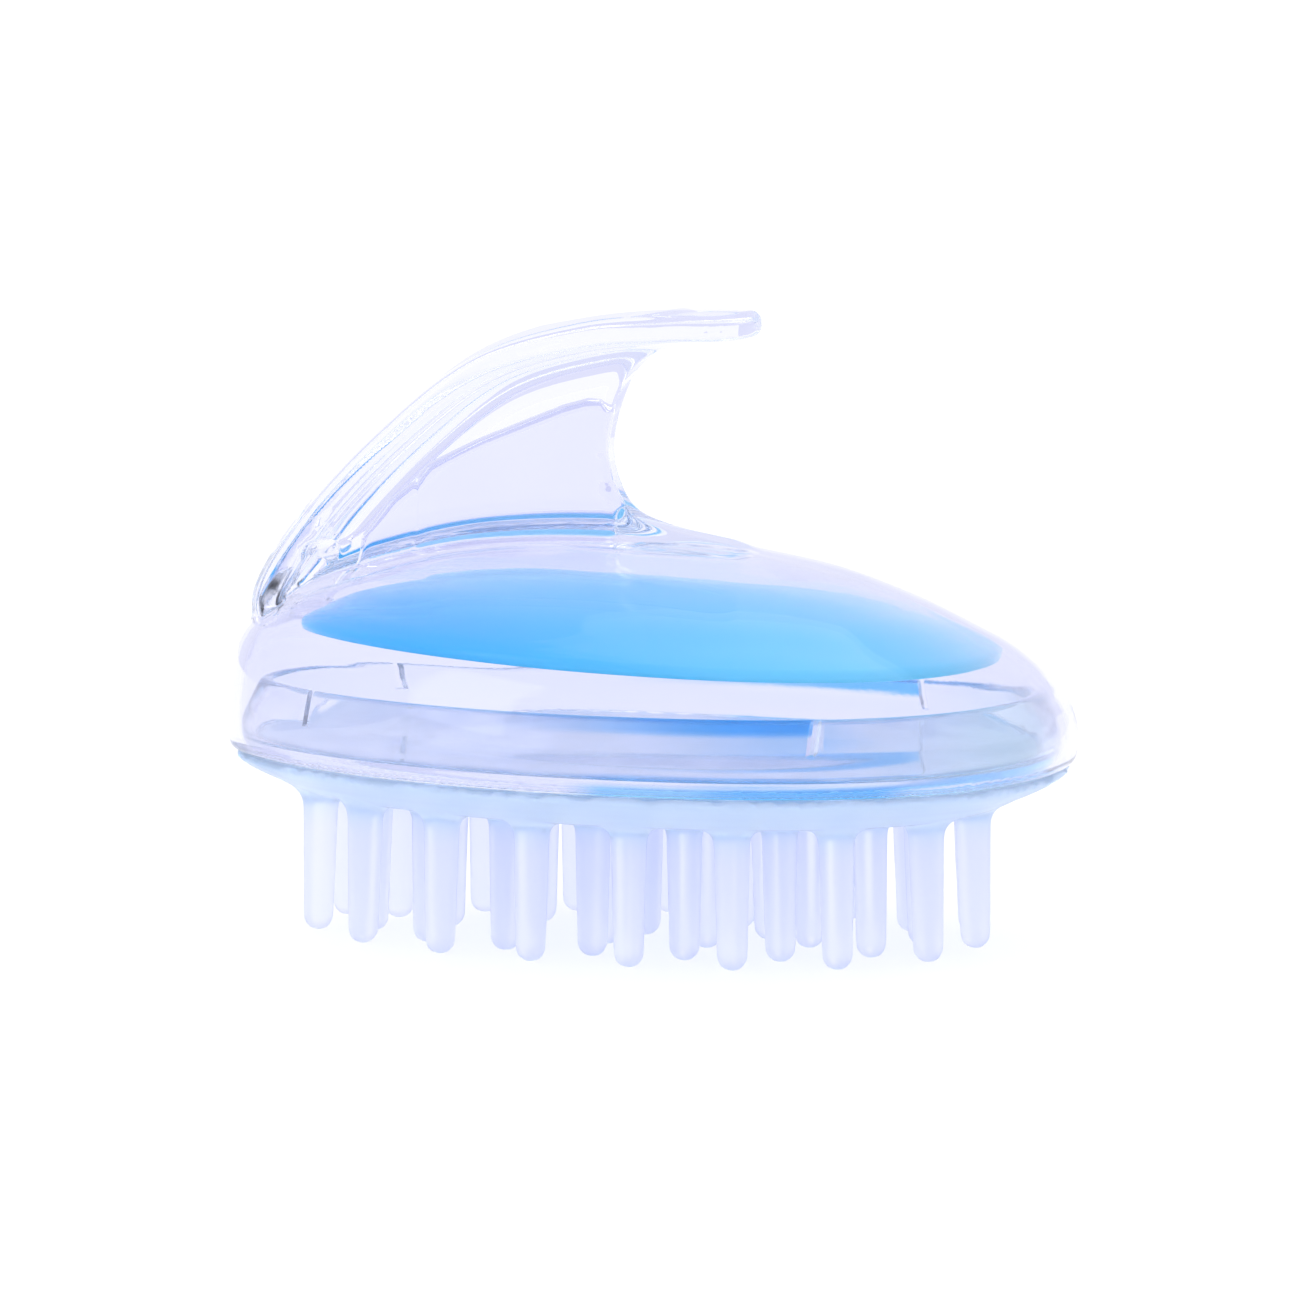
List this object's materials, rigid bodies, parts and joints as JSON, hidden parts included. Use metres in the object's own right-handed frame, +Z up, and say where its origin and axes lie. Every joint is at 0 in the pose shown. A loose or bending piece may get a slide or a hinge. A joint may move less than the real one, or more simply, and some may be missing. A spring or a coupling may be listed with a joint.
{
  "type": "scalp massager brush",
  "caption": "Palm-held scalp massager: clear domed shell with a fin-shaped finger plate, blue plate inside, and a soft pad of blunt round-tipped bristles underneath.",
  "frame": {"origin": "under the middle of the oval outline, on the plane of the bristle tips", "axes": "+X towards the open tip of the finger plate, along the long axis; +Y across the brush; +Z up, away from the bristle tips"},
  "size_m": [0.095, 0.0666, 0.0689],
  "materials": {
    "clear_shell": "gloss",
    "blue_plate": "satin",
    "clear_tray": "gloss",
    "soft_elastomer": "satin"
  },
  "bodies": {
    "root": {"top_shell": "clear_shell", "colour_plate": "blue_plate", "base_tray": "clear_tray", "bristle_pad": "soft_elastomer", "bristle_01": "soft_elastomer", "bristle_02": "soft_elastomer", "bristle_03": "soft_elastomer", "bristle_04": "soft_elastomer", "bristle_05": "soft_elastomer", "bristle_06": "soft_elastomer", "bristle_07": "soft_elastomer", "bristle_08": "soft_elastomer", "bristle_09": "soft_elastomer", "bristle_10": "soft_elastomer", "bristle_11": "soft_elastomer", "bristle_12": "soft_elastomer", "bristle_13": "soft_elastomer", "bristle_14": "soft_elastomer", "bristle_15": "soft_elastomer", "bristle_16": "soft_elastomer", "bristle_17": "soft_elastomer", "bristle_18": "soft_elastomer", "bristle_19": "soft_elastomer", "bristle_20": "soft_elastomer", "bristle_21": "soft_elastomer", "bristle_22": "soft_elastomer", "bristle_23": "soft_elastomer", "bristle_24": "soft_elastomer", "bristle_25": "soft_elastomer", "bristle_26": "soft_elastomer", "bristle_27": "soft_elastomer", "bristle_28": "soft_elastomer", "bristle_29": "soft_elastomer", "bristle_30": "soft_elastomer", "bristle_31": "soft_elastomer", "bristle_32": "soft_elastomer", "bristle_33": "soft_elastomer", "bristle_34": "soft_elastomer", "bristle_35": "soft_elastomer", "bristle_36": "soft_elastomer", "bristle_37": "soft_elastomer", "bristle_38": "soft_elastomer", "bristle_39": "soft_elastomer", "bristle_40": "soft_elastomer", "bristle_41": "soft_elastomer", "bristle_42": "soft_elastomer", "bristle_43": "soft_elastomer", "bristle_44": "soft_elastomer"}
  },
  "joints": []
}
